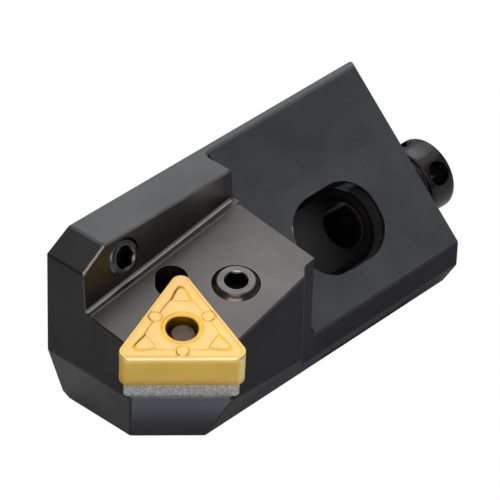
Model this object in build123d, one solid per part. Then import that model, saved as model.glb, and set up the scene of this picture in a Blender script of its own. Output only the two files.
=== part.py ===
from build123d import *
import os
from math import sin, cos, tan, radians, degrees, atan2, sqrt, hypot

os.makedirs("parts", exist_ok=True)

# ---------------------------------------------------------------- dimensions
# Construction frame: X along the holder from the cutting end (0) to the tail,
# Y = 0 is the back locating face (the body lies towards -Y), Z = 0 is the base
# face. ORIGIN, the middle of the base face, becomes the origin of every node.
ORIGIN = (28.0, -9.4, 0.0)
LENGTH = 53.3            # head end face to tail end face
HEIGHT = 25.0            # base face to top face
HEAD_LEN = 25.5          # head block length
WALL_TOP = 5.9           # wall thickness at the top face
WALL_DRAFT = 0.085       # inner wall face lean (mm per mm of depth)
BEVEL_X, BEVEL_Z = 3.72, 2.26    # bevel at the head end of the top face
RIM = 1.2                # flat rim left at the top of the tail
TAIL_FRONT = 19.67       # tail front face distance from the back face
TAIL_LOW_Z = 7.12        # height of the lower edge of the inclined tail face
BASE_FRONT = 17.53       # base face edge distance from the back face
FACET_K = 0.572          # outward lean of the lower right facet (per mm)
LEFT_Z, LEFT_X = 8.71, 2.82      # lower left facet
FRONT_C0, FRONT_K = -8.43, 0.627 # front facet: X + Y >= C0 - K * Z
BACK_CHAMFER = 1.25      # long chamfer between the base and the back face
V_X, V_Y, V_SLOPE = 22.2, -20.92, 0.0925   # slightly angled right face of the head
NOTCH_X = 23.5           # end of the corner recess in plan
NOTCH_R = 1.3
EDGE = 0.2               # general edge break

# Seat and chip face: one plane that drops towards the cutting edge
RAKE = 0.1385            # slope in X and in Y
FACE_Z0 = 18.30          # chip face height at X = Y = 0
INSERT_C = (6.27, -16.14)        # insert centre in plan, on the insert top
INSERT_PROUD = 0.15      # insert top above the chip face (vertical)

# Insert (triangular, negative)
IC = 9.525
INSERT_T = 4.76
NOSE_R = 1.2
HOLE_D = 3.81

SHIM_T = 2.60
SHIM_INSET = 0.60
SHIM_R = 0.55
SHIM_HOLE = 5.80

SLEEVE_OD, SLEEVE_ID = 5.60, 4.60
SLEEVE_UP, SLEEVE_DOWN = 2.10, 1.40

LEVER_SCREW = (6.53, 7.12)       # in seat coordinates
LEVER_SCREW_D = 5.8
FIT = 0.05               # radial running clearance of threads

RADIAL_END = (6.72, -6.45, 21.99)      # centre of the socket end
RADIAL_TILT, RADIAL_D = 18.0, 4.8      # axis rises out of the wall, degrees
AXIAL_Y, AXIAL_Z, AXIAL_D = -7.5, 7.9, 6.0
AXIAL_HEAD_D, AXIAL_HEAD_L, AXIAL_GAP = 9.6, 4.3, 3.2

CB_X, CB_S = 37.72, 16.25        # clamping hole: centre along X, down the slope
CB_W, CB_L = 10.2, 14.1          # oblong counterbore
CB_DEPTH = 3.0
CB_FLOOR_R = 0.9                 # corner radius at the floor of the counterbore
CB_BREAK = 0.12
THRU_D, THRU_OFF, THRU_S = 6.0, 3.15, 0.1      # clamping screw clearance, at the tail end of it

BIG = 200.0


# ---------------------------------------------------------------- helpers
def keep(shape, point, normal):
    """Cut away everything on the normal side of a plane."""
    pl = Plane(origin=point, z_dir=normal)
    tool = pl * Pos(0, 0, BIG / 2) * Box(BIG, BIG, BIG)
    return shape - tool


def hexagon(af):
    return RegularPolygon(radius=af / 2, side_count=6, major_radius=False)


def socket(top, depth, af=2.5, mouth=1.49):
    """Hexagon socket with a conical lead-in, to be cut from a screw end at z = top."""
    lead = make_face(Polyline((0, top + 0.01), (mouth + 0.01, top + 0.01),
                              (af / 2 - 0.05, top - 0.29), (0, top - 0.29), close=True))
    return (Pos(0, 0, top - depth) * extrude(hexagon(af), depth + 2)
            + revolve(lead.rotate(Axis.X, 90), Axis.Z))


def break_edges(shape, edges, size, fillet_it=False):
    """Break edges one at a time, so that one that fails leaves the others."""
    for c, ln in [(e.center(), e.length) for e in edges]:
        cand = [e for e in shape.edges()
                if (e.center() - c).length < 0.35 and abs(e.length - ln) < 1.5]
        if not cand:
            continue
        e = min(cand, key=lambda q: (q.center() - c).length)
        try:
            new = fillet([e], size) if fillet_it else chamfer([e], size)
            if new.is_valid and len(new.solids()) == 1 and new.volume < shape.volume * 1.02:
                shape = new
        except Exception:
            pass
    return shape


N = Vector(-RAKE, -RAKE, 1).normalized()
F1 = Vector(1, -1, 0).normalized()
F2 = N.cross(F1)
ins_z = FACE_Z0 + INSERT_PROUD + RAKE * (INSERT_C[0] + INSERT_C[1])
TOP_C = Vector(INSERT_C[0], INSERT_C[1], ins_z)
STACK = INSERT_T + SHIM_T
SEAT_O = TOP_C - N * STACK
seat = Plane(origin=SEAT_O, x_dir=F1, z_dir=N)          # z = 0 on the pocket floor
FACE_H = STACK - INSERT_PROUD * N.Z                     # chip face above the floor

arm_ang = degrees(atan2(LEVER_SCREW[1], LEVER_SCREW[0]))
ARM = hypot(*LEVER_SCREW)
U = F1 * cos(radians(arm_ang)) + F2 * sin(radians(arm_ang))
lev = Plane(origin=SEAT_O, x_dir=U, z_dir=N)            # x runs from the insert to the screw


def tri_points(offset=0.0):
    ri = IC / 2 + offset
    return [(-ri * sqrt(3), -ri), (ri * sqrt(3), -ri), (0, 2 * ri)]


def tri_face(offset, r):
    return fillet(make_face(Polyline(*tri_points(offset), close=True)).vertices(), r)


# ---------------------------------------------------------------- body
def plan_outline():
    v_at_0 = V_Y - V_X * V_SLOPE
    pts = [(0, 0), (LENGTH, 0), (LENGTH, -TAIL_FRONT), (NOTCH_X, -TAIL_FRONT),
           (V_X, V_Y), (0, v_at_0)]
    face = make_face(Polyline(*pts, close=True))
    return face


body = extrude(plan_outline(), HEIGHT)
notch_edges = [e for e in body.edges().filter_by(Axis.Z)
               if abs(e.center().X - NOTCH_X) < 0.1]
try:
    body = fillet(notch_edges, NOTCH_R)
except Exception:
    pass

# lower facets
body = keep(body, (LEFT_X, 0, 0), (-LEFT_Z, 0, -LEFT_X))
body = keep(body, (FRONT_C0 / 2, FRONT_C0 / 2, 0), (-1, -1, -FRONT_K))
body = keep(body, (0, -BASE_FRONT, 0), (0, -1, -FACET_K))
# bevel on the top face at the head end
body = keep(body, (0, 0, HEIGHT - BEVEL_Z), (-BEVEL_Z, 0, BEVEL_X))

# inclined tail face, with a concave corner radius against the head step
slope = (HEIGHT - TAIL_LOW_Z) / (TAIL_FRONT - RIM)
sl = atan2(HEIGHT - TAIL_LOW_Z, TAIL_FRONT - RIM)
tail_n = Vector(0, -sin(sl), cos(sl))
tail_d = Vector(0, -cos(sl), -sin(sl))
tail = Plane(origin=(HEAD_LEN, -RIM, HEIGHT), x_dir=(1, 0, 0), z_dir=tail_n)
tool = tail * Pos(40, 0, 20) * Box(80, 120, 40)
tool = fillet(tool.edges().filter_by(lambda e: abs(tail.to_local_coords(e.center()).X) < 0.01
                                     and abs(tail.to_local_coords(e.center()).Z) < 0.01), 0.9)
body -= tool

# chip face of the head, in front of the wall
chip = Plane(origin=(0, 0, FACE_Z0), x_dir=Vector(1, 0, RAKE).normalized(), z_dir=N)
LEDGE, LEDGE_H = 0.98, 0.14      # narrow raised strip along the foot of the wall
head_cut = chip * Pos(0, 0, 20 + LEDGE_H) * Box(120, 120, 40)
wall_n = Vector(0, -1, WALL_DRAFT).normalized()
wall = Plane(origin=(0, -WALL_TOP, HEIGHT), x_dir=(1, 0, 0), z_dir=wall_n)
head_cut &= wall * Pos(0, 0, 30) * Box(120, 120, 60)
head_cut &= Pos(HEAD_LEN / 2 - 10, -30, 15) * Box(HEAD_LEN + 20 + 0.0, 60, 60)
# concave radius at the foot of the wall
foot = [e for e in head_cut.edges() if e.length > 20
        and abs(chip.to_local_coords(e.center()).Z - LEDGE_H) < 0.01
        and abs(wall.to_local_coords(e.center()).Z) < 0.01]
head_cut = fillet(foot, 0.5)
body -= head_cut
# the chip face itself, down to a small slanting step at the strip
foot_y = chip.to_local_coords(Vector(12, -WALL_TOP - WALL_DRAFT * (HEIGHT - 19.1), 19.1)).Y - LEDGE
step = make_face(Polyline((foot_y, 0), (foot_y + LEDGE_H, LEDGE_H), (foot_y + LEDGE_H, 0.9),
                          (foot_y - 40, 0.9), (foot_y - 40, 0), close=True))
step = extrude(Plane.YZ * step, 120, both=True)
step &= chip.to_local_coords(Pos(HEAD_LEN / 2 - 10, -30, 15) * Box(HEAD_LEN + 20, 60, 60))
body -= chip * step

# long chamfer between base and back face
body = keep(body, (0, -BACK_CHAMFER, 0), (0, 1, -1))

# insert pocket
def vee(gap):
    q = tri_points(gap)
    return make_face(Polyline((q[0][0] - 20 * tan(radians(30)), q[0][1] - 20), q[2],
                              (q[1][0] + 20 * tan(radians(30)), q[1][1] - 20), close=True))


wall_gap = 0.03
body -= seat * Pos(0, 0, SHIM_T - 0.3) * extrude(vee(wall_gap), 30)
body -= seat * extrude(vee(0.06 - SHIM_INSET), 30)      # closer in around the shim

# relief at the back corner of the pocket
relief = make_face(Polyline((-3.05, 6.9), (-3.05, 8.0), (0.92, 8.0), (0.92, 6.9), close=True))
relief = relief + Pos(-1.06, 8.0) * Circle(2.0) + Pos(-1.12, 6.9) * Circle(1.95)
body -= seat * Pos(0, 0, -0.5) * extrude(relief, 20)

# lever room: sleeve seat, slot to the lever screw, screw bore
body -= seat * Pos(0, 0, -SLEEVE_DOWN - 0.1) * extrude(Circle(SLEEVE_OD / 2 + 0.03), 10)
slot2d = Pos((ARM + 0.9) / 2 - 0.9, 0) * RectangleRounded(ARM + 0.9 + 3.4, 4.4, 2.1)
body -= lev * Pos(0, 0, -5.5) * extrude(slot2d, 4.4)
body -= seat * Pos(LEVER_SCREW[0], LEVER_SCREW[1], -3.0) * extrude(
    Circle(LEVER_SCREW_D / 2 + FIT), 20)

# radial adjusting screw bore, through the wall
radial = Plane(origin=Vector(*RADIAL_END), x_dir=(1, 0, 0),
               z_dir=(0, -cos(radians(RADIAL_TILT)), sin(radians(RADIAL_TILT))))
body -= radial * Cylinder(RADIAL_D / 2 + FIT, 30)

# axial adjusting screw bore in the tail end
AX_HOLE = 8.2
body -= Pos(LENGTH - AX_HOLE / 2 + 1, AXIAL_Y, AXIAL_Z) * Rot(0, 90, 0) * Cylinder(
    AXIAL_D / 2 + FIT, AX_HOLE + 2)

# clamping screw hole, square to the inclined tail face
cb = Plane(origin=Vector(CB_X, -RIM, HEIGHT) + tail_d * CB_S, x_dir=(1, 0, 0), z_dir=tail_n)
bore = extrude(SlotOverall(CB_L, CB_W), CB_DEPTH + 10)
bore = fillet([e for e in bore.edges() if abs(e.center().Z) < 0.01
               and abs(e.position_at(0).Z) < 0.01], CB_FLOOR_R)
body -= cb * Pos(0, 0, -CB_DEPTH) * bore
body -= cb * Pos(THRU_OFF, -THRU_S, -30) * extrude(Circle(THRU_D / 2), 30)

body = body.solids().sort_by(SortBy.VOLUME)[-1]


# ---------------------------------------------------------------- edge breaks
def near_plane(e, origin, normal, tol=0.02):
    n = Vector(*normal).normalized()
    o = Vector(*origin)
    return all(abs((Vector(*q) - o).dot(n)) < tol
               for q in [tuple(e.position_at(0)), tuple(e.position_at(0.5)),
                         tuple(e.position_at(1))])


def on(e, name):
    P_ = {
        "top": ((0, 0, HEIGHT), (0, 0, 1)),
        "back": ((0, 0, 0), (0, 1, 0)),
        "base": ((0, 0, 0), (0, 0, 1)),
        "end": ((LENGTH, 0, 0), (1, 0, 0)),
        "head": ((0, 0, 0), (1, 0, 0)),
        "tail": ((HEAD_LEN, -RIM, HEIGHT), tuple(tail_n)),
        "tfront": ((0, -TAIL_FRONT, 0), (0, 1, 0)),
        "wall": ((0, -WALL_TOP, HEIGHT), tuple(wall_n)),
        "chip": ((0, 0, FACE_Z0), tuple(N)),
        "bevel": ((0, 0, HEIGHT - BEVEL_Z), (-BEVEL_Z, 0, BEVEL_X)),
        "left": ((LEFT_X, 0, 0), (-LEFT_Z, 0, -LEFT_X)),
        "front": ((FRONT_C0 / 2, FRONT_C0 / 2, 0), (-1, -1, -FRONT_K)),
        "right": ((0, -BASE_FRONT, 0), (0, -1, -FACET_K)),
        "chamf": ((0, -BACK_CHAMFER, 0), (0, 1, -1)),
        "vface": ((V_X, V_Y, 0), (V_SLOPE, -1, 0)),
        "step": ((HEAD_LEN, 0, 0), (1, 0, 0)),
    }
    return near_plane(e, *P_[name])


def pick(shape, a, b_):
    return [e for e in shape.edges() if e.length > 0.8 and on(e, a) and on(e, b_)]


pairs = [("end", "tail", 0.4), ("end", "tfront", 0.45), ("end", "right", 0.4),
         ("end", "back", 0.35), ("end", "top", 0.35), ("end", "base", 0.3),
         ("end", "chamf", 0.3),
         ("top", "wall", EDGE), ("top", "back", EDGE), ("top", "bevel", EDGE),
         ("bevel", "head", EDGE), ("bevel", "back", EDGE), ("bevel", "wall", EDGE),
         ("head", "back", EDGE), ("head", "left", EDGE), ("left", "back", EDGE),
         ("left", "base", EDGE), ("left", "front", EDGE), ("front", "base", EDGE),
         ("front", "right", EDGE), ("right", "base", EDGE), ("right", "vface", EDGE),
         ("right", "tfront", EDGE), ("tail", "tfront", EDGE), ("tail", "top", EDGE),
         ("chip", "vface", EDGE), ("chip", "step", EDGE), ("top", "step", EDGE),
         ("wall", "step", EDGE), ("step", "tfront", 0.25),
         ("chip", "head", 0.12), ("wall", "head", 0.15), ("chamf", "base", EDGE),
         ("chamf", "back", EDGE)]
for a, b_, size in pairs:
    body = break_edges(body, pick(body, a, b_), size)

mouth = [e for e in body.edges() if near_plane(e, (CB_X, -RIM, HEIGHT), tuple(tail_n), 0.03)
         and (e.center() - cb.origin).length < CB_L / 2 + 0.3]
try:
    new = chamfer(mouth, CB_BREAK)
    if new.is_valid and len(new.solids()) == 1:
        body = new
except Exception:
    pass

# ---------------------------------------------------------------- insert
ins_body = extrude(tri_face(0.0, NOSE_R), INSERT_T)
ins_body -= Pos(0, 0, INSERT_T / 2) * Cylinder(HOLE_D / 2, INSERT_T + 2)
for z_, s in ((INSERT_T, 1), (0, -1)):
    rim_edge = [e for e in ins_body.edges().filter_by(GeomType.CIRCLE)
                if abs(e.radius - HOLE_D / 2) < 0.01 and abs(e.center().Z - z_) < 0.01]
    ins_body = chamfer(rim_edge, 0.3)
# chip groove: a ring inside the narrow land on both faces
for z_, s in ((INSERT_T, 1), (0.0, -1)):
    outer_top = tri_face(-0.22, 0.98)
    outer_bot = tri_face(-0.55, 0.70)
    inner_bot = tri_face(-0.95, 0.45)
    inner_top = tri_face(-1.25, 0.35)
    ring = loft([Plane.XY.offset(z_) * outer_top, Plane.XY.offset(z_ - s * 0.16) * outer_bot])
    core = loft([Plane.XY.offset(z_ + s * 0.02) * inner_top,
                 Plane.XY.offset(z_ - s * 0.17) * inner_bot])
    ins_body -= (ring - core)
ins_body = ins_body.solids().sort_by(SortBy.VOLUME)[-1]
insert = seat * Pos(0, 0, SHIM_T) * ins_body

# ---------------------------------------------------------------- shim
shim = extrude(tri_face(-SHIM_INSET, SHIM_R), SHIM_T)
shim -= Pos(0, 0, SHIM_T / 2) * Cylinder(SHIM_HOLE / 2, SHIM_T + 2)
shim = chamfer([e for e in shim.edges().filter_by(GeomType.CIRCLE)
                if abs(e.radius - SHIM_HOLE / 2) < 0.01], 0.2)
shim = seat * shim

# ---------------------------------------------------------------- split sleeve
sl_h = SLEEVE_UP + SLEEVE_DOWN
sleeve = Pos(0, 0, (SLEEVE_UP - SLEEVE_DOWN) / 2) * (
    Cylinder(SLEEVE_OD / 2, sl_h) - Cylinder(SLEEVE_ID / 2, sl_h + 1))
sleeve -= Pos(-SLEEVE_OD / 2, 0, 0) * Box(3, 0.9, 20)
sleeve = chamfer([e for e in sleeve.edges().filter_by(GeomType.CIRCLE)
                  if abs(e.radius - SLEEVE_OD / 2) < 0.01], 0.15)
shim_sleeve = lev * sleeve

# ---------------------------------------------------------------- lever
PIN_TOP = STACK - 1.2
PIN_OFF = (HOLE_D - 3.2) / 2 - 0.06
ELBOW_Z = -3.4
leg = Pos(0, 0, -4.4) * extrude(Circle(1.35), PIN_TOP + 4.4)
drum = revolve(make_face(Polyline((0, SHIM_T + 0.35), (1.0, SHIM_T + 0.35), (1.6, SHIM_T + 0.95), (1.6, PIN_TOP - 0.42),
                                  (1.18, PIN_TOP), (0, PIN_TOP), close=True).rotate(Axis.X, 90)),
               Axis.Z)
elbow = Pos(0, 0, ELBOW_Z) * Rot(90, 0, 0) * Cylinder(1.75, 3.4)      # the heel it rocks on
arm = Pos((ARM + 1.2) / 2, 0, -3.4) * Box(ARM + 1.2, 2.8, 2.2)
arm = fillet([e for e in arm.edges().filter_by(Axis.Z) if e.center().X > 5], 1.2)
lever = Pos(PIN_OFF, 0, 0) * (leg + drum) + (elbow + arm)
lever = lever.solids().sort_by(SortBy.VOLUME)[-1]
lever = lev * lever

# ---------------------------------------------------------------- lever screw
SC_TOP = FACE_H + 0.6
SC_BOT = -3.4 + 1.1 + 0.12
SR = LEVER_SCREW_D / 2
prof = Polyline((0, SC_BOT), (2.1, SC_BOT), (SR, SC_BOT + SR - 2.1), (SR, FACE_H - 0.1),
                (2.62, FACE_H + 0.16), (2.42, FACE_H + 0.47), (2.3, SC_TOP - 0.04), (2.2, SC_TOP),
                (0, SC_TOP), close=True)
lscrew = revolve(make_face(prof.rotate(Axis.X, 90)), Axis.Z)
lscrew -= socket(SC_TOP, 2.6)
lever_screw = seat * Pos(LEVER_SCREW[0], LEVER_SCREW[1], 0) * lscrew

# ---------------------------------------------------------------- radial adjusting screw
# local z runs out of the wall towards the cutting side
r_len = 6.3
rr = RADIAL_D / 2
prof = Polyline((0, -r_len), (0.9, -r_len), (rr, -r_len + 1.1), (rr, -0.42), (2.3, -0.24),
                (2.08, -0.1), (1.72, 0), (0, 0), close=True)
rscrew = revolve(make_face(prof.rotate(Axis.X, 90)), Axis.Z)
rscrew -= socket(0, 2.4)
radial_adjusting_screw = radial * rscrew

# ---------------------------------------------------------------- axial adjusting screw
AX_IN = 6.3                      # engaged length
prof = Polyline((0, -AX_IN), (2.3, -AX_IN), (3.0, -AX_IN + 0.7), (3.0, AXIAL_GAP),
                (4.7, AXIAL_GAP), (4.8, AXIAL_GAP + 0.1),
                (4.8, AXIAL_GAP + AXIAL_HEAD_L - 0.15),
                (4.65, AXIAL_GAP + AXIAL_HEAD_L), (0, AXIAL_GAP + AXIAL_HEAD_L), close=True)
ascrew = revolve(make_face(prof.rotate(Axis.X, 90)), Axis.Z)
zc = AXIAL_GAP + AXIAL_HEAD_L / 2
# local frame: local z -> +X, local x -> -Z, local y -> +Y
hole_dir = 143.0                 # cross hole direction in the YZ plane
ascrew_w = Pos(LENGTH, AXIAL_Y, AXIAL_Z) * Rot(0, 90, 0) * ascrew
for a in (hole_dir, hole_dir - 90):
    d = Vector(0, cos(radians(a)), sin(radians(a)))
    ascrew_w -= Plane(origin=Vector(LENGTH + zc, AXIAL_Y, AXIAL_Z), z_dir=d) * Cylinder(1.6, 20)
axial_adjusting_screw = ascrew_w.solids().sort_by(SortBy.VOLUME)[-1]

# ---------------------------------------------------------------- export
nodes = {
    "cartridge_body": body,
    "insert": insert,
    "shim": shim,
    "shim_sleeve": shim_sleeve,
    "lever": lever,
    "lever_screw": lever_screw,
    "radial_adjusting_screw": radial_adjusting_screw,
    "axial_adjusting_screw": axial_adjusting_screw,
}
for name, shape in nodes.items():
    sol = shape.solids()
    if len(sol) > 1:
        shape = sol.sort_by(SortBy.VOLUME)[-1]
    elif len(sol) == 1:
        shape = sol[0]
    shape = Pos(-ORIGIN[0], -ORIGIN[1], -ORIGIN[2]) * shape
    bb = shape.bounding_box()
    print(name, "valid", shape.is_valid, "vol", round(shape.volume, 2), "solids", len(sol),
          "bb", [round(v, 2) for v in (*bb.min, *bb.max)])
    export_step(shape, f"parts/{name}.step")
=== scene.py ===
import math

import bmesh
import bpy
from mathutils import Matrix, Vector


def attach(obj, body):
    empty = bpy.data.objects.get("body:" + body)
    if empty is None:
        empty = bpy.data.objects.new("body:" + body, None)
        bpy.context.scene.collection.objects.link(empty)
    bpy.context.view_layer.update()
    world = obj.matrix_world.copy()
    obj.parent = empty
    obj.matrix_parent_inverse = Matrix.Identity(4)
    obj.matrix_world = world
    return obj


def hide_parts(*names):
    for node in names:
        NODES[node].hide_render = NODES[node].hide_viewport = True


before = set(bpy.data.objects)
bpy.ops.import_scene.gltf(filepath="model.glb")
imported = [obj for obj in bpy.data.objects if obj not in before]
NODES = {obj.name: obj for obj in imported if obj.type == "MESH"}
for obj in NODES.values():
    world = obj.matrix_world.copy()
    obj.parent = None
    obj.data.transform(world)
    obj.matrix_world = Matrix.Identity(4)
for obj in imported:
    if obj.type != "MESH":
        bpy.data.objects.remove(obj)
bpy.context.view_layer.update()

MM = 0.001
# height of the inclined tail face along its own normal, from the origin
TAIL_LEVEL = (-0.695508 * 8.2 + 0.718518 * 25.0) * MM


# ------------------------------------------------------------------ node helpers
class Mat:
    """A small writer of node materials. Coordinates are the piece's own, in metres."""

    def __init__(self, name):
        self.m = bpy.data.materials.new(name)
        self.m.use_nodes = True
        self.t = self.m.node_tree
        self.t.nodes.clear()
        self.out = self.t.nodes.new("ShaderNodeOutputMaterial")
        self.bsdf = self.t.nodes.new("ShaderNodeBsdfPrincipled")
        self.t.links.new(self.bsdf.outputs[0], self.out.inputs[0])
        tc = self.t.nodes.new("ShaderNodeTexCoord")
        self.co, self.onormal = tc.outputs["Object"], tc.outputs["Normal"]

    def link(self, a, b):
        self.t.links.new(a, b)

    def setv(self, sock, v):
        if isinstance(v, bpy.types.NodeSocket):
            self.link(v, sock)
        else:
            sock.default_value = v

    def mapping(self, scale=(1, 1, 1), rot=(0, 0, 0), loc=(0, 0, 0), vec=None):
        n = self.t.nodes.new("ShaderNodeMapping")
        n.inputs["Scale"].default_value = scale
        n.inputs["Rotation"].default_value = rot
        n.inputs["Location"].default_value = loc
        self.link(vec or self.co, n.inputs["Vector"])
        return n.outputs[0]

    def noise(self, scale, detail=2.0, rough=0.5, vec=None, dist=0.0):
        n = self.t.nodes.new("ShaderNodeTexNoise")
        n.inputs["Scale"].default_value = scale
        n.inputs["Detail"].default_value = detail
        n.inputs["Roughness"].default_value = rough
        n.inputs["Distortion"].default_value = dist
        self.link(vec or self.co, n.inputs["Vector"])
        return n.outputs["Fac"]

    def voronoi(self, scale, vec=None, feature="F1", rand=1.0):
        n = self.t.nodes.new("ShaderNodeTexVoronoi")
        n.feature = feature
        n.inputs["Scale"].default_value = scale
        n.inputs["Randomness"].default_value = rand
        self.link(vec or self.co, n.inputs["Vector"])
        return n

    def math(self, op, a, b=0.0, c=None, clamp=False):
        n = self.t.nodes.new("ShaderNodeMath")
        n.operation = op
        n.use_clamp = clamp
        self.setv(n.inputs[0], a)
        self.setv(n.inputs[1], b)
        if c is not None:
            self.setv(n.inputs[2], c)
        return n.outputs[0]

    def ramp(self, fac, lo, hi, out_lo=0.0, out_hi=1.0):
        n = self.t.nodes.new("ShaderNodeMapRange")
        n.interpolation_type = "SMOOTHSTEP"
        n.inputs["From Min"].default_value = lo
        n.inputs["From Max"].default_value = hi
        n.inputs["To Min"].default_value = out_lo
        n.inputs["To Max"].default_value = out_hi
        self.link(fac, n.inputs["Value"])
        return n.outputs[0]

    def mix(self, fac, a, b, mode="MIX"):
        n = self.t.nodes.new("ShaderNodeMix")
        n.data_type = "RGBA"
        n.blend_type = mode
        self.setv(n.inputs["Factor"], fac)
        for s, v in ((n.inputs[6], a), (n.inputs[7], b)):
            if isinstance(v, bpy.types.NodeSocket):
                self.link(v, s)
            else:
                s.default_value = (*v[:3], 1.0)
        return n.outputs[2]

    def sep(self, vec=None):
        n = self.t.nodes.new("ShaderNodeSeparateXYZ")
        self.link(vec or self.co, n.inputs[0])
        return n.outputs

    def normal(self):
        return self.t.nodes.new("ShaderNodeNewGeometry").outputs["Normal"]

    def bump(self, height, strength, distance, normal=None):
        n = self.t.nodes.new("ShaderNodeBump")
        n.inputs["Strength"].default_value = strength
        n.inputs["Distance"].default_value = distance
        self.link(height, n.inputs["Height"])
        if normal is not None:
            self.link(normal, n.inputs["Normal"])
        return n.outputs[0]

    def edge(self, radius, samples=8):
        """1 on a sharp or tight edge, 0 on flat faces."""
        b = self.t.nodes.new("ShaderNodeBevel")
        b.samples = samples
        b.inputs["Radius"].default_value = radius
        g = self.t.nodes.new("ShaderNodeNewGeometry")
        d = self.t.nodes.new("ShaderNodeVectorMath")
        d.operation = "DOT_PRODUCT"
        self.link(b.outputs[0], d.inputs[0])
        self.link(g.outputs["Normal"], d.inputs[1])
        return self.math("SUBTRACT", 1.0, d.outputs["Value"], clamp=True)


# ------------------------------------------------------------------ shared geometry
SEAT_O = Vector((-20.7297, -5.7397, 9.8602)) * MM
F1 = Vector((1, -1, 0)).normalized()
F2 = Vector((0.69392, 0.69392, 0.19222)).normalized()
NS = Vector((-0.135917, -0.135917, 0.981353)).normalized()


def seat(u, v, w):
    return SEAT_O + (F1 * u + F2 * v + NS * w) * MM


def smooth(a, b, x):
    t = min(max((x - a) / (b - a), 0.0), 1.0)
    return t * t * (3 - 2 * t)


def profile(x, pts):
    if x <= pts[0][0]:
        return pts[0][1]
    for (x0, y0), (x1, y1) in zip(pts, pts[1:]):
        if x <= x1:
            return y0 + (y1 - y0) * smooth(x0, x1, x)
    return pts[-1][1]


def piece(name, verts, faces, mat, body, smooth_faces=True):
    me = bpy.data.meshes.new(name)
    me.from_pydata([tuple(v) for v in verts], [], faces)
    me.validate()
    bm = bmesh.new()
    bm.from_mesh(me)
    bmesh.ops.recalc_face_normals(bm, faces=bm.faces)
    for f in bm.faces:
        f.smooth = smooth_faces
    bm.to_mesh(me)
    bm.free()
    me.materials.append(mat)
    o = bpy.data.objects.new(name, me)
    bpy.context.scene.collection.objects.link(o)
    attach(o, body)
    return o


# ------------------------------------------------------------------ insert
RI, NOSE, T0, T1 = 4.7625, 1.2, 2.6, 7.36
HOLE_R = 1.905
N_ARC, N_SIDE = 30, 150
BUMPS = [(3.62 * math.cos(math.radians(a)), 3.62 * math.sin(math.radians(a))) for a in (-90, 30, 150)]
CORNERS = [(math.cos(math.radians(a)), math.sin(math.radians(a))) for a in (90, 210, 330)]
NORMALS = [(math.cos(math.radians(a)), math.sin(math.radians(a))) for a in (150, 270, 30)]


def ring2d(d):
    """Rounded triangle, d inside the outline, always with the same number of points."""
    r = max(NOSE - d, 0.50)
    ri = RI - d
    c = 2 * (ri - r)
    half = math.sqrt(3) * (ri - r)
    out = []
    for k, a0 in enumerate((90, 210, 330)):
        cx, cy = c * CORNERS[k][0], c * CORNERS[k][1]
        for i in range(N_ARC):
            a = math.radians(a0 - 60 + 120 * i / N_ARC)
            out.append((cx + r * math.cos(a), cy + r * math.sin(a)))
        nx, ny = NORMALS[k]
        tx, ty = -ny, nx
        for i in range(N_SIDE):
            x = i / N_SIDE
            f = x + 0.45 * math.sin(2 * math.pi * x) / (2 * math.pi)
            s = (2 * f - 1) * half
            out.append((nx * ri + tx * s, ny * ri + ty * s))
    return out


def inset_of(u, v):
    """Distance in from the outline of the sharp-sided triangle, and reach into the corners."""
    m = max(u * nx + v * ny for nx, ny in NORMALS)
    reach = max(u * cx + v * cy for cx, cy in CORNERS)
    return RI - m, reach


def chip_height(u, v, d):
    """Height of the chip breaker over the cutting edge plane, in mm."""
    d2, reach = inset_of(u, v)
    near = smooth(3.2, 4.3, reach)
    tip = smooth(4.2, 6.0, reach)
    s0, s1 = 1.27 - 0.17 * tip, 1.84 - 0.30 * tip
    h_c = profile(d, [(0, -0.05), (0.06, -0.004), (0.10, 0), (0.22, 0), (0.46, -0.050), (0.66, -0.072),
                      (0.90, -0.082), (s0, -0.080), (s1, 0.075), (2.2, 0.078)])
    h_m = profile(d, [(0, -0.05), (0.06, -0.004), (0.10, 0), (0.22, 0), (0.46, -0.060), (0.62, -0.075),
                      (1.0, -0.070), (1.20, -0.060), (1.55, 0.0), (1.9, 0.005)])
    h = h_c * near + h_m * (1 - near)
    # the raised corners step down to the middle of the face
    if d > 1.2:
        low = (1 - smooth(4.10, 4.25, reach)) * smooth(1.35, 1.6, d)
        h = h * (1 - low) - 0.005 * low
    # three round pads at the middle of the sides
    for bu, bv in BUMPS:
        e = math.hypot(u - bu, v - bv)
        if e < 1.2:
            w = 1 - smooth(0.62, 0.78, e)
            h = h * (1 - w) + 0.012 * w
            h -= 0.042 * math.exp(-((e - 0.83) / 0.085) ** 2)
    # rounded rim around the hole, set off by a fine groove
    r = math.hypot(u, v)
    h -= 0.050 * math.exp(-((r - 2.46) / 0.10) ** 2)
    if r < 2.30:
        h -= 0.13 * ((2.30 - r) / (2.30 - HOLE_R)) ** 2.2
    return h


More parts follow.
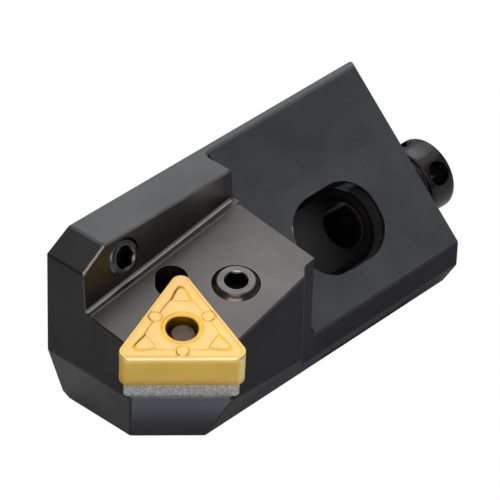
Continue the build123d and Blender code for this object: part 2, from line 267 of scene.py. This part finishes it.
def build_insert(mat):
    ds = [0, 0.025, 0.05, 0.09, 0.15, 0.21] + [0.21 + 0.0305 * i for i in range(1, 51)]
    verts, faces = [], []
    rings = []

    def add_ring(pts, ws):
        s = len(verts)
        for (u, v), w in zip(pts, ws):
            verts.append(seat(u, v, w))
        rings.append(s)
        return s

    n = 3 * (N_ARC + N_SIDE)
    outer = ring2d(0.0)
    # lower face, coarse: hole, seat, then up the side
    hole = [(HOLE_R * math.cos(math.atan2(v, u)), HOLE_R * math.sin(math.atan2(v, u)))
            for u, v in ring2d(ds[-1])]
    seq = []
    for w in (T1 - 0.30, T1 - 0.55, (T0 + T1) / 2, T0 + 0.3):
        seq.append((hole, [w] * n))
    for k, w in ((1.16, T0),):
        seq.append(([(u * k, v * k) for u, v in hole], [w] * n))
    for q in (0.35, 0.7):
        seq.append(([(a[0] * 1.16 * (1 - q) + b[0] * q, a[1] * 1.16 * (1 - q) + b[1] * q)
                     for a, b in zip(hole, ring2d(0.04))], [T0] * n))
    seq.append((ring2d(0.04), [T0] * n))
    seq.append((outer, [T0 + 0.04] * n))
    for q in (0.25, 0.5, 0.75):
        seq.append((outer, [T0 + (T1 - T0) * q] * n))
    seq.append((outer, [T1 - 0.04] * n))
    for d in ds[1:]:
        p = ring2d(d)
        seq.append((p, [T1 + chip_height(u, v, d) for u, v in p]))
    last = ring2d(ds[-1])
    ang = [math.atan2(v, u) for u, v in last]
    inner = [(HOLE_R * math.cos(a), HOLE_R * math.sin(a)) for a in ang]
    m = 62
    for j in range(1, m + 1):
        q = 1 - (1 - j / m) ** 1.12
        p = [(a[0] * (1 - q) + b[0] * q, a[1] * (1 - q) + b[1] * q) for a, b in zip(last, inner)]
        seq.append((p, [T1 + chip_height(u, v, ds[-1] + q * 3.0) for u, v in p]))
    for pts, ws in seq:
        add_ring(pts, ws)
    rings.append(rings[0])
    for a, b in zip(rings, rings[1:]):
        for i in range(n):
            j = (i + 1) % n
            faces.append((a + i, a + j, b + j, b + i))
    o = piece("insert_formed", verts, faces, mat, "holder")
    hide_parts("insert")
    return o


# ------------------------------------------------------------------ axial adjusting screw
AX_C = Vector((0, 1.9, 7.9)) * MM        # axis, in the plane across the holder
AX_FACE = 25.3                            # tail end face
AX_IN, AX_GAP, AX_HEAD, AX_R = 6.3, 3.2, 4.3, 4.8


def ax_pt(x, r, a):
    return Vector((x * MM, AX_C.y + r * MM * math.cos(a), AX_C.z + r * MM * math.sin(a)))


def lathe(prof, n=96):
    """Closed surface of revolution about the screw axis from (x, r) points ending on the axis."""
    verts, faces, rows = [], [], []
    for x, r in prof:
        if r < 1e-6:
            verts.append(ax_pt(x, 0, 0))
            rows.append([len(verts) - 1])
        else:
            s = len(verts)
            verts += [ax_pt(x, r, 2 * math.pi * i / n) for i in range(n)]
            rows.append(list(range(s, s + n)))
    for a, b in zip(rows, rows[1:]):
        if len(a) == 1:
            faces += [(a[0], b[i], b[(i + 1) % n]) for i in range(n)]
        elif len(b) == 1:
            faces += [(a[i], b[0], a[(i + 1) % n]) for i in range(n)]
        else:
            faces += [(a[i], a[(i + 1) % n], b[(i + 1) % n], b[i]) for i in range(n)]
    return verts, faces


def plain(name, verts, faces):
    me = bpy.data.meshes.new(name)
    me.from_pydata([tuple(v) for v in verts], [], faces)
    bm = bmesh.new()
    bm.from_mesh(me)
    bmesh.ops.recalc_face_normals(bm, faces=bm.faces)
    bm.to_mesh(me)
    bm.free()
    o = bpy.data.objects.new(name, me)
    bpy.context.scene.collection.objects.link(o)
    return o


def build_axial(mat):
    x0, x1 = AX_FACE + AX_GAP, AX_FACE + AX_GAP + AX_HEAD
    c = 0.12
    head = plain("axial_head_tmp", *lathe([
        (x0 - 0.4, 0), (x0 - 0.4, 2.2), (x0, 2.6), (x0, 3.4), (x0, AX_R - c), (x0 + 0.04, AX_R - 0.05), (x0 + c, AX_R),
        (x0 + 0.9, AX_R), (x1 - 0.9, AX_R), (x1 - c - 0.06, AX_R), (x1 - 0.07, AX_R - 0.06), (x1, AX_R - c - 0.05),
        (x1, 3.0), (x1, 0)], 160))
    cutters = []
    zc = AX_FACE + AX_GAP + AX_HEAD / 2
    for k, deg in enumerate((143.0, 53.0)):
        a = math.radians(deg)
        d = Vector((0, math.cos(a), math.sin(a)))
        e1 = Vector((1, 0, 0))
        e2 = d.cross(e1)
        o = Vector((zc * MM, AX_C.y, AX_C.z))
        n, R, L = 72, 1.6 * MM, (7.0 + 0.1 * k) * MM
        vs, fs = [], []
        for s in (-1, 1):
            for i in range(n):
                t = 2 * math.pi * (i + 0.5 * k) / n
                vs.append(o + d * (s * L) + (e1 * math.cos(t) + e2 * math.sin(t)) * (R * (1 + 0.0006 * k)))
        fs.append(tuple(range(n - 1, -1, -1)))
        fs.append(tuple(range(n, 2 * n)))
        fs += [(i, (i + 1) % n, n + (i + 1) % n, n + i) for i in range(n)]
        cut = plain("axial_cut_tmp%d" % k, vs, fs)
        cutters.append(cut)
        md = head.modifiers.new("hole%d" % k, "BOOLEAN")
        md.operation, md.solver, md.object = "DIFFERENCE", "EXACT", cut
    bv = head.modifiers.new("soft", "BEVEL")
    bv.width, bv.segments, bv.limit_method, bv.angle_limit = 0.06 * MM, 2, "ANGLE", math.radians(40)
    bpy.context.view_layer.update()
    dg = bpy.context.evaluated_depsgraph_get()
    ev = bpy.data.meshes.new_from_object(head.evaluated_get(dg))
    # threaded shank: a helical ridge of rounded V form, flush ends
    P, r_out, r_in = 0.75, 2.99, 2.56
    n, step = 96, 0.075
    xs0, xs1 = AX_FACE - AX_IN, x0 - 0.02
    m = int((xs1 - xs0) / step)
    vs, fs = [], []
    for j in range(m + 1):
        x = xs0 + (xs1 - xs0) * j / m
        lead = smooth(xs0, xs0 + 0.9, x)
        for i in range(n):
            a = 2 * math.pi * i / n
            ph = (x / P - i / n) % 1.0
            tri = 1 - abs(2 * ph - 1)
            r = r_in + (r_out - r_in) * min(max(1.25 * tri - 0.08, 0), 1.0)
            r = min(r, 2.2 + 0.8 * lead + 0.02)
            neck = smooth(xs1 - 0.7, xs1 - 0.25, x)
            r = r * (1 - neck) + 2.5 * neck
            vs.append(ax_pt(x, r, a))
    for j in range(m):
        for i in range(n):
            k = (i + 1) % n
            fs.append((j * n + i, j * n + k, (j + 1) * n + k, (j + 1) * n + i))
    fs.append(tuple(range(n - 1, -1, -1)))
    fs.append(tuple(m * n + i for i in range(n)))
    shank = plain("axial_shank_tmp", vs, fs)
    bm = bmesh.new()
    bm.from_mesh(ev)
    bm.from_mesh(shank.data)
    me = bpy.data.meshes.new("axial_screw_turned")
    for f in bm.faces:
        f.smooth = True
    bmesh.ops.remove_doubles(bm, verts=bm.verts, dist=1e-8)
    bm.to_mesh(me)
    bm.free()
    for o in [head, shank] + cutters:
        bpy.data.objects.remove(o, do_unlink=True)
    me.set_sharp_from_angle(angle=math.radians(38))
    me.materials.append(mat)
    o = bpy.data.objects.new("axial_screw_turned", me)
    bpy.context.scene.collection.objects.link(o)
    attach(o, "axial_screw_body")
    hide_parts("axial_adjusting_screw")
    return o


def face_mask(m, axis, lo, hi):
    """1 where the piece's own surface normal lies along axis."""
    n = m.t.nodes.new("ShaderNodeVectorMath")
    n.operation = "DOT_PRODUCT"
    m.link(m.onormal, n.inputs[0])
    n.inputs[1].default_value = Vector(axis).normalized()
    return m.ramp(n.outputs["Value"], lo, hi)


def grow(m, col, k):
    n = m.t.nodes.new("ShaderNodeVectorMath")
    n.operation = "SCALE"
    m.link(col, n.inputs[0])
    m.setv(n.inputs["Scale"], k)
    return n.outputs[0]


# Base colour of the blackened steel on each machined face, set by the face's direction: painted light and shade, each
# face lighter or darker as light falls on it, with a small real part of ground faces keeping a paler oxide and milled
# ones a deeper one.
PAINTED_FACE_SHADE = [
    ((0, 0, 1), 0.975, 0.995, (0.119, 0.121, 0.125)),             # top
    ((-0.135917, -0.135917, 0.981353), 0.993, 0.999, (0.162, 0.155, 0.149)),   # chip face
    ((0, -0.6955, 0.7185), 0.985, 0.998, (0.128, 0.130, 0.141)),  # inclined tail face
    ((-0.52, 0, 0.855), 0.97, 0.995, (0.055, 0.055, 0.056)),      # bevel
    ((-1, 0, 0), 0.97, 0.995, (0.047, 0.047, 0.047)),             # head end
    ((-0.951, 0, -0.309), 0.985, 0.996, (0.126, 0.126, 0.126)),   # lower left facet
    ((-0.648, -0.648, -0.406), 0.97, 0.995, (0.088, 0.088, 0.092)),  # front facet
    ((0, -0.868, -0.496), 0.97, 0.995, (0.036, 0.035, 0.039)),    # lower right facet
    ((-0.04, -1, 0.02), 0.985, 0.995, (0.0235, 0.0230, 0.0275)),     # side of the head and of the tail
]


def holder_steel():
    m = Mat("black_oxide_holder")
    b = m.bsdf
    b.inputs["Metallic"].default_value = 1.0
    b.inputs["Specular Tint"].default_value = (0.60, 0.595, 0.615, 1.0)
    col = (0.070, 0.070, 0.073)
    prev = None
    for axis, lo, hi, c in PAINTED_FACE_SHADE:
        prev = m.mix(face_mask(m, axis, lo, hi), prev if prev is not None else col, c)
    sp = m.sep()
    # the wall over the chip face, with painted light and shade along its length: paler in the middle, darker towards
    # both ends
    wall = m.math("MULTIPLY", face_mask(m, (0, -1, 0.085), 0.985, 0.996), m.ramp(sp[1], 1.0 * MM, 1.6 * MM))
    wall_painted_light = m.mix(m.ramp(sp[0], -26 * MM, -14 * MM), (0.095, 0.087, 0.077), (0.185, 0.166, 0.154))
    wall_painted_light = m.mix(m.ramp(sp[0], -9 * MM, -3.2 * MM), wall_painted_light, (0.052, 0.050, 0.051))
    prev = m.mix(wall, prev, wall_painted_light)
    # painted highlight on the radius and strip at the foot of the wall
    foot_painted_highlight = m.math("MULTIPLY", face_mask(m, (-0.05, -0.72, 0.69), 0.84, 0.96),
                  m.ramp(sp[0], -3.2 * MM, -2.9 * MM, 1.0, 0.0))
    foot_painted_highlight = m.math("MULTIPLY", foot_painted_highlight, m.ramp(sp[1], 1.0 * MM, 2.9 * MM, 0.0, 1.0))
    prev = m.mix(foot_painted_highlight, prev, (0.33, 0.315, 0.305))
    # painted shade: the inclined face is darker near its upper end
    tail_top_painted_shade = m.math("MULTIPLY", face_mask(m, (0, -0.6955, 0.7185), 0.985, 0.998),
                m.math("MULTIPLY", m.ramp(sp[2], 15 * MM, 24 * MM), 0.50))
    prev = m.mix(tail_top_painted_shade, prev, (0.070, 0.072, 0.080))
    # painted shade: the chip face darkens towards the wall
    chip_painted_shade = m.math("MULTIPLY", face_mask(m, (-0.135917, -0.135917, 0.981353), 0.993, 0.999),
                  m.ramp(sp[1], -8.5 * MM, 2.0 * MM))
    prev = m.mix(chip_painted_shade, prev, (0.112, 0.107, 0.104))
    # painted light and shade: the tail side of the front is paler, the right end of the lower facet darker
    tail_front_painted_light = m.math("MULTIPLY", face_mask(m, (-0.04, -1, 0.02), 0.985, 0.995), m.ramp(sp[0], -4.15 * MM, -4.0 * MM))
    prev = m.mix(tail_front_painted_light, prev, m.mix(m.ramp(sp[0], -2.4 * MM, 1.0 * MM), (0.047, 0.046, 0.050), (0.037, 0.036, 0.041)))
    lower_right_painted_shade = m.math("MULTIPLY", face_mask(m, (0, -0.868, -0.496), 0.97, 0.995), m.ramp(sp[0], 8 * MM, 20 * MM))
    prev = m.mix(lower_right_painted_shade, prev, (0.001, 0.001, 0.0015))
    # slow mottling of the oxide and the lay left by the cutter and wheel
    slow = m.noise(150, 3, 0.55)
    lay = m.noise(7000, 3, 0.6, m.mapping(scale=(0.045, 1.0, 1.0)))
    speck = m.noise(5200, 2, 0.6)
    k = m.math("MULTIPLY", m.ramp(slow, 0.3, 0.7, 0.90, 1.10), m.ramp(lay, 0.25, 0.75, 0.94, 1.06))
    base = grow(m, prev, k)
    # clamping recess below the inclined face: painted shade and light on its bed, walls and well, mostly darker than
    # the face, and a rougher finish
    depth = m.math("ADD", m.math("MULTIPLY", sp[1], -0.695508), m.math("MULTIPLY", sp[2], 0.718518))
    below = m.ramp(depth, TAIL_LEVEL - 0.30 * MM, TAIL_LEVEL - 0.06 * MM, 1.0, 0.0)
    inx = m.math("MULTIPLY", m.ramp(sp[0], 1.2 * MM, 2.2 * MM), m.ramp(sp[0], 17.2 * MM, 18.2 * MM, 1.0, 0.0))
    iny = m.math("MULTIPLY", m.ramp(sp[1], -9.0 * MM, -8.4 * MM), m.ramp(sp[2], 20.0 * MM, 21.0 * MM, 1.0, 0.0))
    recess_painted_shade = m.math("MULTIPLY", below, m.math("MULTIPLY", inx, iny))
    recess_painted_shade = m.math("MULTIPLY", recess_painted_shade, m.ramp(sp[1], 8.6 * MM, 8.9 * MM, 1.0, 0.0))
    recess_well_painted_shade = m.ramp(depth, TAIL_LEVEL - 3.9 * MM, TAIL_LEVEL - 3.1 * MM, 1.0, 0.0)
    ground = face_mask(m, (0, -0.6955, 0.7185), 0.975, 0.999)
    along = m.ramp(sp[0], 3.5 * MM, 13 * MM)
    recess_bed_painted_shade = m.mix(along, (0.072, 0.069, 0.070), (0.006, 0.0055, 0.0055))
    recess_bed_painted_shade = m.mix(m.ramp(sp[2], 8.5 * MM, 12.5 * MM), m.mix(0.5, recess_bed_painted_shade, (0.016, 0.015, 0.016)), recess_bed_painted_shade)
    recess_wall_painted_shade = m.mix(along, (0.005, 0.0035, 0.0035), (0.078, 0.074, 0.075))
    recess_wall_painted_shade = m.mix(m.ramp(sp[2], 13.0 * MM, 16.5 * MM), recess_wall_painted_shade, (0.014, 0.012, 0.012))
    recess_wall_painted_shade = m.mix(face_mask(m, (0, -0.6955, 0.7185), 0.04, 0.30), recess_wall_painted_shade,
                  m.mix(along, (0.005, 0.004, 0.004), (0.008, 0.007, 0.007)))
    inner = m.mix(ground, recess_wall_painted_shade, recess_bed_painted_shade)
    base = m.mix(recess_painted_shade, base, m.mix(recess_well_painted_shade, inner, (0.012, 0.008, 0.008)))
    # painted shade: the broken edge round the recess is kept dark so it shows no highlight
    recess_lip_painted_shade = m.math("MULTIPLY", m.math("MULTIPLY", inx, iny),
                 m.ramp(depth, TAIL_LEVEL - 0.5 * MM, TAIL_LEVEL - 0.4 * MM))
    recess_lip_painted_shade = m.math("MULTIPLY", recess_lip_painted_shade, m.ramp(sp[0], 7.0 * MM, 8.5 * MM))
    recess_lip_painted_shade = m.math("SUBTRACT", recess_lip_painted_shade, m.math("MULTIPLY", recess_lip_painted_shade, face_mask(m, (0, -0.6955, 0.7185), 0.90, 0.98)))
    base = m.mix(recess_lip_painted_shade, base, (0.012, 0.012, 0.012))
    # painted light inside the relief hole at the corner of the seat, in a brown tone
    rise = m.math("ADD", m.math("ADD", m.math("MULTIPLY", sp[0], NS.x), m.math("MULTIPLY", sp[1], NS.y)),
                  m.math("ADD", m.math("MULTIPLY", sp[2], NS.z), -NS.dot(SEAT_O)))
    away = m.t.nodes.new("ShaderNodeVectorMath")
    away.operation = "DISTANCE"
    m.link(m.co, away.inputs[0])
    away.inputs[1].default_value = Vector((-15.8, 0.0, 17.0)) * MM
    relief_hole_painted_light = m.math("MULTIPLY", m.ramp(rise, 6.95 * MM, 7.12 * MM, 1.0, 0.0),
                 m.ramp(away.outputs["Value"], 3.0 * MM, 3.5 * MM, 1.0, 0.0))
    base = m.mix(relief_hole_painted_light, base, (0.26, 0.185, 0.165))
    # painted light: the front facet pales towards its upper edge
    front_facet_painted_light = m.math("MULTIPLY", face_mask(m, (-0.648, -0.648, -0.406), 0.97, 0.995),
                m.ramp(sp[2], 1.5 * MM, 8.0 * MM))
    base = m.mix(front_facet_painted_light, base, (0.195, 0.206, 0.236))
    # edges rubbed bright: worn edges, also a painted edge highlight
    e = m.edge(0.16 * MM)
    broken = m.ramp(m.noise(1300, 4, 0.65), 0.36, 0.60, 0.25, 1.0)
    wear_and_edge_highlight = m.math("MULTIPLY", m.ramp(e, 0.02, 0.20), broken, clamp=True)
    wear_and_edge_highlight = m.math("MULTIPLY", wear_and_edge_highlight, m.math("SUBTRACT", 1.0, recess_painted_shade))
    wear_and_edge_highlight = m.math("MULTIPLY", wear_and_edge_highlight, m.math("SUBTRACT", 1.0, m.math("MULTIPLY", m.math("MULTIPLY", inx, iny),
                  m.ramp(depth, TAIL_LEVEL - 0.7 * MM, TAIL_LEVEL - 0.5 * MM, 0.0, 0.95))))
    keep_off = m.math("MULTIPLY", m.ramp(sp[0], -27.75 * MM, -27.6 * MM, 1.0, 0.0),
                      m.ramp(sp[2], 22.3 * MM, 22.7 * MM, 1.0, 0.0))
    wear_and_edge_highlight = m.math("MULTIPLY", wear_and_edge_highlight, m.math("SUBTRACT", 1.0, m.math("MULTIPLY", keep_off, 0.85)))
    base = m.mix(m.math("MULTIPLY", wear_and_edge_highlight, 0.85), base, (0.27, 0.265, 0.262))
    # painted glint on the rim of the recess
    strip = m.math("ADD", m.math("ADD", m.math("MULTIPLY", sp[0], 0.93), m.math("MULTIPLY", sp[1], -0.2644)),
                   m.math("ADD", m.math("MULTIPLY", sp[2], -0.2559), 0.37 * MM))
    rim_painted_glint = m.math("MULTIPLY", m.ramp(m.math("ABSOLUTE", strip, 0.0), 0.12 * MM, 0.24 * MM, 1.0, 0.0),
                 m.math("MULTIPLY", m.ramp(sp[2], 14.2 * MM, 14.8 * MM), m.ramp(sp[2], 15.6 * MM, 16.0 * MM, 1.0, 0.0)))
    rim_painted_glint = m.math("MULTIPLY", rim_painted_glint, m.ramp(depth, TAIL_LEVEL - 0.5 * MM, TAIL_LEVEL - 0.4 * MM))
    m.link(m.mix(rim_painted_glint, base, (1.0, 1.0, 1.0)), b.inputs["Base Color"])
    r = m.math("ADD", m.ramp(slow, 0.3, 0.7, 0.30, 0.36), m.ramp(speck, 0.3, 0.7, -0.03, 0.03))
    m.link(m.math("ADD", r, m.math("MULTIPLY", recess_painted_shade, 0.36)), b.inputs["Roughness"])
    h = m.math("ADD", m.math("MULTIPLY", lay, 0.9), m.math("MULTIPLY", speck, 0.35))
    m.link(m.bump(h, 0.20, 0.010 * MM), b.inputs["Normal"])
    return m.m


def off_axis(m, origin, axis):
    """Distance of a surface point from an axis."""
    a = m.t.nodes.new("ShaderNodeVectorMath")
    a.operation = "SUBTRACT"
    m.link(m.co, a.inputs[0])
    a.inputs[1].default_value = origin
    c = m.t.nodes.new("ShaderNodeVectorMath")
    c.operation = "CROSS_PRODUCT"
    m.link(a.outputs[0], c.inputs[0])
    c.inputs[1].default_value = axis
    d = m.t.nodes.new("ShaderNodeVectorMath")
    d.operation = "LENGTH"
    m.link(c.outputs[0], d.inputs[0])
    return d.outputs["Value"]


def screw_steel(name, base, worn_edge_and_highlight_colour, rough, wear_and_edge_highlight=0.6, radius=0.14, socket=None, skirt_painted_shade=None, crest_and_head_painted_light=None):
    m = Mat(name)
    b = m.bsdf
    b.inputs["Metallic"].default_value = 1.0
    slow = m.noise(700, 3, 0.55)
    fine = m.noise(6000, 3, 0.6)
    k = m.math("MULTIPLY", m.ramp(slow, 0.3, 0.7, 0.85, 1.15), m.ramp(fine, 0.25, 0.75, 0.88, 1.12))
    col = m.mix(1.0, base, (1, 1, 1), "MULTIPLY")
    # painted shade: the skirt round the head ring is darker and browner to hold back its highlight, and the socket
    # opening is darkened
    if socket:
        d = off_axis(m, *socket)
        if skirt_painted_shade:
            col = m.mix(m.ramp(d, 2.18 * MM, 2.40 * MM), col, skirt_painted_shade)
        col = m.mix(m.ramp(d, 1.36 * MM, 1.44 * MM, 1.0, 0.0), col, (0.030, 0.024, 0.022))
    # painted light: a highlight on the thread crests in the gap under the head, the head's faces lighter or darker by
    # direction, and its underside towards the tail lightened out of its shade
    if crest_and_head_painted_light:
        o, a, end = crest_and_head_painted_light
        d = m.math("MULTIPLY", m.ramp(off_axis(m, o, a), 2.70 * MM, 2.92 * MM),
                   m.ramp(m.sep()[0], end - 0.25 * MM, end - 0.05 * MM, 1.0, 0.0))
        col = m.mix(d, col, (0.62, 0.58, 0.54))
        body = m.ramp(m.sep()[0], end - 0.10 * MM, end - 0.02 * MM)
        head_top_painted_light = m.math("MULTIPLY", body, m.ramp(m.sep()[0], 29.6 * MM, 31.8 * MM, 1.0, 0.30))
        col = m.mix(m.math("MULTIPLY", head_top_painted_light, face_mask(m, (0, -0.105, 0.9945), 0.955, 0.995)), col,
                    (0.100, 0.100, 0.102))
        col = m.mix(m.math("MULTIPLY", body, face_mask(m, (0, -0.53, 0.848), 0.965, 0.996)), col,
                    (0.036, 0.033, 0.033))
        col = m.mix(m.math("MULTIPLY", body, face_mask(m, (-1, 0, 0), 0.90, 0.98)), col,
                    (0.155, 0.150, 0.150))
    col = grow(m, col, k)
    # edges worn bright, also a painted edge highlight
    e = m.edge(radius * MM)
    broken = m.ramp(m.noise(2200, 4, 0.65), 0.36, 0.60, 0.3, 1.0)
    w = m.math("MULTIPLY", m.math("MULTIPLY", m.ramp(e, 0.02, 0.22), broken), wear_and_edge_highlight, clamp=True)
    m.link(m.mix(w, col, worn_edge_and_highlight_colour), b.inputs["Base Color"])
    m.link(m.math("ADD", m.ramp(slow, 0.3, 0.7, rough - 0.03, rough + 0.03),
                  m.ramp(fine, 0.3, 0.7, -0.03, 0.03)), b.inputs["Roughness"])
    m.link(m.bump(fine, 0.25, 0.010 * MM), b.inputs["Normal"])
    return m.m


def carbide_gold():
    m = Mat("gold_coated_carbide")
    b = m.bsdf
    slow = m.noise(420, 3, 0.55)
    fine = m.noise(14000, 3, 0.6)
    # painted light and shade on the gold coat, toned by face direction: the right side and nose lighter, the left side
    # darker, the chip-breaker slopes a deeper gold than the top
    flat = face_mask(m, (-0.135917, -0.135917, 0.981353), 0.975, 0.998)
    up = face_mask(m, (-0.135917, -0.135917, 0.981353), 0.25, 0.55)
    right = face_mask(m, (1, -1, 0), 0.12, 0.60)
    left = face_mask(m, (-1, 1, 0), 0.30, 0.85)
    front = face_mask(m, (-0.343, -0.343, 0.874), 0.970, 0.995)
    side_painted_light = m.mix(left, m.mix(right, (0.90, 0.60, 0.140), (1.0, 0.80, 0.34)), (0.70, 0.43, 0.055))
    top = (0.985, 0.640, 0.262)
    slope_painted_shade = m.mix(m.math("MULTIPLY", front, 0.55), (1.0, 0.555, 0.055), top)
    col = m.mix(up, side_painted_light, m.mix(flat, slope_painted_shade, top))
    # painted highlight: the rounding from side to top in a paler tone
    rounding_painted_highlight = m.math("MULTIPLY", up, face_mask(m, (-0.135917, -0.135917, 0.981353), 0.80, 0.90))
    col = m.mix(m.math("SUBTRACT", up, rounding_painted_highlight), col, (0.78, 0.62, 0.36))
    d = off_axis(m, SEAT_O, NS)
    # painted shade: a deeper gold, as on the slopes, on the groove round the hole, and a dark tone inside the hole
    col = m.mix(m.math("MULTIPLY", m.ramp(d, 2.30 * MM, 2.52 * MM, 1.0, 0.0), 0.65), col, (0.98, 0.56, 0.075))
    col = m.mix(m.ramp(d, 1.92 * MM, 1.97 * MM, 1.0, 0.0), col, (0.42, 0.275, 0.030))
    k = m.math("MULTIPLY", m.ramp(slow, 0.3, 0.7, 0.97, 1.03), m.ramp(fine, 0.3, 0.7, 0.965, 1.03))
    col = grow(m, col, k)
    # honed cutting edges in a pale tone, also a painted highlight along them
    e = m.edge(0.12 * MM)
    hone_and_edge_highlight = m.math("MULTIPLY", m.ramp(e, 0.03, 0.22), m.math("MULTIPLY", m.ramp(d, 2.6 * MM, 2.9 * MM), up))
    m.link(m.mix(m.math("MULTIPLY", hone_and_edge_highlight, 0.85), col, (1.0, 0.93, 0.76)),
           b.inputs["Base Color"])
    b.inputs["Metallic"].default_value = 1.0
    m.link(m.ramp(fine, 0.2, 0.8, 0.36, 0.48), b.inputs["Roughness"])
    m.link(m.bump(fine, 0.25, 0.006 * MM), b.inputs["Normal"])
    return m.m


def carbide_bare():
    m = Mat("ground_carbide")
    b = m.bsdf
    v = m.voronoi(3200).outputs["Distance"]
    fine = m.noise(3600, 2, 0.75)
    col = m.mix(m.ramp(fine, 0.38, 0.62), (0.33, 0.335, 0.33), (0.60, 0.62, 0.60))
    m.link(col, b.inputs["Base Color"])
    b.inputs["Metallic"].default_value = 0.9
    m.link(m.ramp(v, 0.0, 0.8, 0.38, 0.58), b.inputs["Roughness"])
    m.link(m.bump(fine, 0.8, 0.035 * MM), b.inputs["Normal"])
    return m.m


def lever_steel():
    m = Mat("lever_steel")
    b = m.bsdf
    slow = m.noise(900, 3, 0.6)
    fine = m.noise(6000, 3, 0.6)
    m.link(m.mix(slow, (0.118, 0.088, 0.068), (0.178, 0.136, 0.106)), b.inputs["Base Color"])
    b.inputs["Metallic"].default_value = 0.9
    m.link(m.ramp(fine, 0.2, 0.8, 0.45, 0.62), b.inputs["Roughness"])
    m.link(m.bump(fine, 0.3, 0.01 * MM), b.inputs["Normal"])
    return m.m


MAT = {"body": holder_steel(), "gold": carbide_gold(), "shim": carbide_bare(), "lever": lever_steel(),
       "lever_screw": screw_steel("black_oxide_lever_screw", (0.185, 0.178, 0.176), (0.30, 0.22, 0.17), 0.27,
                                  0.8, 0.14, (seat(6.53, 7.12, 0), NS), (0.085, 0.066, 0.056)),
       "radial": screw_steel("black_oxide_radial_screw", (0.088, 0.090, 0.096), (0.22, 0.22, 0.22), 0.25,
                             0.6, 0.14, (Vector((-21.28, 2.95, 21.99)) * MM,
                                         Vector((0, -0.951057, 0.309017)))),
       "axial": screw_steel("black_oxide_axial_screw", (0.035, 0.034, 0.036), (0.19, 0.187, 0.183), 0.30, 0.8, 0.12,
                            crest_and_head_painted_light=(Vector((0, 1.9, 7.9)) * MM, Vector((1, 0, 0)), 28.5 * MM))}


def dress(obj, mat):
    obj.data.materials.clear()
    obj.data.materials.append(mat)


dress(NODES["cartridge_body"], MAT["body"])
dress(NODES["insert"], MAT["gold"])
dress(NODES["shim"], MAT["shim"])
dress(NODES["shim_sleeve"], MAT["lever"])
dress(NODES["lever"], MAT["lever"])
dress(NODES["lever_screw"], MAT["lever_screw"])
dress(NODES["radial_adjusting_screw"], MAT["radial"])
dress(NODES["axial_adjusting_screw"], MAT["axial"])

build_insert(MAT["gold"])
build_axial(MAT["axial"])

# ------------------------------------------------------------------ stage
bm = bmesh.new()
bmesh.ops.create_grid(bm, x_segments=1, y_segments=1, size=1.5)
me = bpy.data.meshes.new("floor")
bm.to_mesh(me)
bm.free()
floor = bpy.data.objects.new("floor", me)
bpy.context.scene.collection.objects.link(floor)
floor.location.z = -0.00002
fm = bpy.data.materials.new("pale_floor")
fm.use_nodes = True
ft = fm.node_tree
fb = ft.nodes["Principled BSDF"]
fb.inputs["Base Color"].default_value = (0.63, 0.63, 0.63, 1)
fb.inputs["Roughness"].default_value = 0.9
glow = ft.nodes.new("ShaderNodeEmission")
glow.inputs["Color"].default_value = (1, 1, 1, 1)
path = ft.nodes.new("ShaderNodeLightPath")
blend = ft.nodes.new("ShaderNodeMixShader")
ft.links.new(path.outputs["Is Camera Ray"], blend.inputs[0])
ft.links.new(fb.outputs[0], blend.inputs[1])
ft.links.new(glow.outputs[0], blend.inputs[2])
ft.links.new(blend.outputs[0], ft.nodes["Material Output"].inputs["Surface"])
me.materials.append(fm)

world = bpy.data.worlds.new("studio")
bpy.context.scene.world = world
world.use_nodes = True
bg = world.node_tree.nodes["Background"]
bg.inputs["Color"].default_value = (1.0, 1.0, 1.0, 1)
bg.inputs["Strength"].default_value = 0.15


def area(name, direction, distance, size, radiance, color=(1, 1, 1), aim=(0, 0, 0.012)):
    d = Vector(direction).normalized()
    L = bpy.data.lights.new(name, "AREA")
    L.shape = "RECTANGLE"
    L.size, L.size_y = size
    L.energy = radiance * size[0] * size[1] * math.pi
    L.color = color
    o = bpy.data.objects.new(name, L)
    bpy.context.scene.collection.objects.link(o)
    o.location = Vector(aim) + d * distance
    o.rotation_mode = "QUATERNION"
    o.rotation_quaternion = d.to_track_quat("Z", "Y")
    return o


area("back_softbox", (0.46, 0.42, 0.78), 0.9, (1.5, 1.3), 1.06)
area("front_fill", (-0.66, -0.54, 0.45), 0.8, (0.7, 0.45), 4.4)
area("top_fill", (-0.22, -0.25, 1.0), 0.9, (0.9, 0.9), 0.55)
area("right_fill", (0.60, -0.57, 0.556), 0.9, (0.8, 0.8), 0.25)

# ------------------------------------------------------------------ camera
az, el, roll = math.radians(-48.28913), math.radians(36.14402), math.radians(1.87782)
back = Vector((math.sin(az) * math.cos(el), -math.cos(az) * math.cos(el), math.sin(el)))
right = Vector((math.cos(az), math.sin(az), 0))
up = back.cross(right)
r2 = right * math.cos(roll) + up * math.sin(roll)
u2 = -right * math.sin(roll) + up * math.cos(roll)
cam = bpy.data.cameras.new("camera")
cam.sensor_width = 36.0
cam.lens = 269.262
cam.clip_start, cam.clip_end = 0.01, 20.0
co = bpy.data.objects.new("camera", cam)
bpy.context.scene.collection.objects.link(co)
mw = Matrix((r2, u2, back)).transposed().to_4x4()
mw.translation = Vector((-0.2754125, -0.2430745, 0.2818027))
co.matrix_world = mw
bpy.context.scene.camera = co
bpy.context.scene.view_settings.view_transform = "Standard"
bpy.context.scene.view_settings.look = "None"
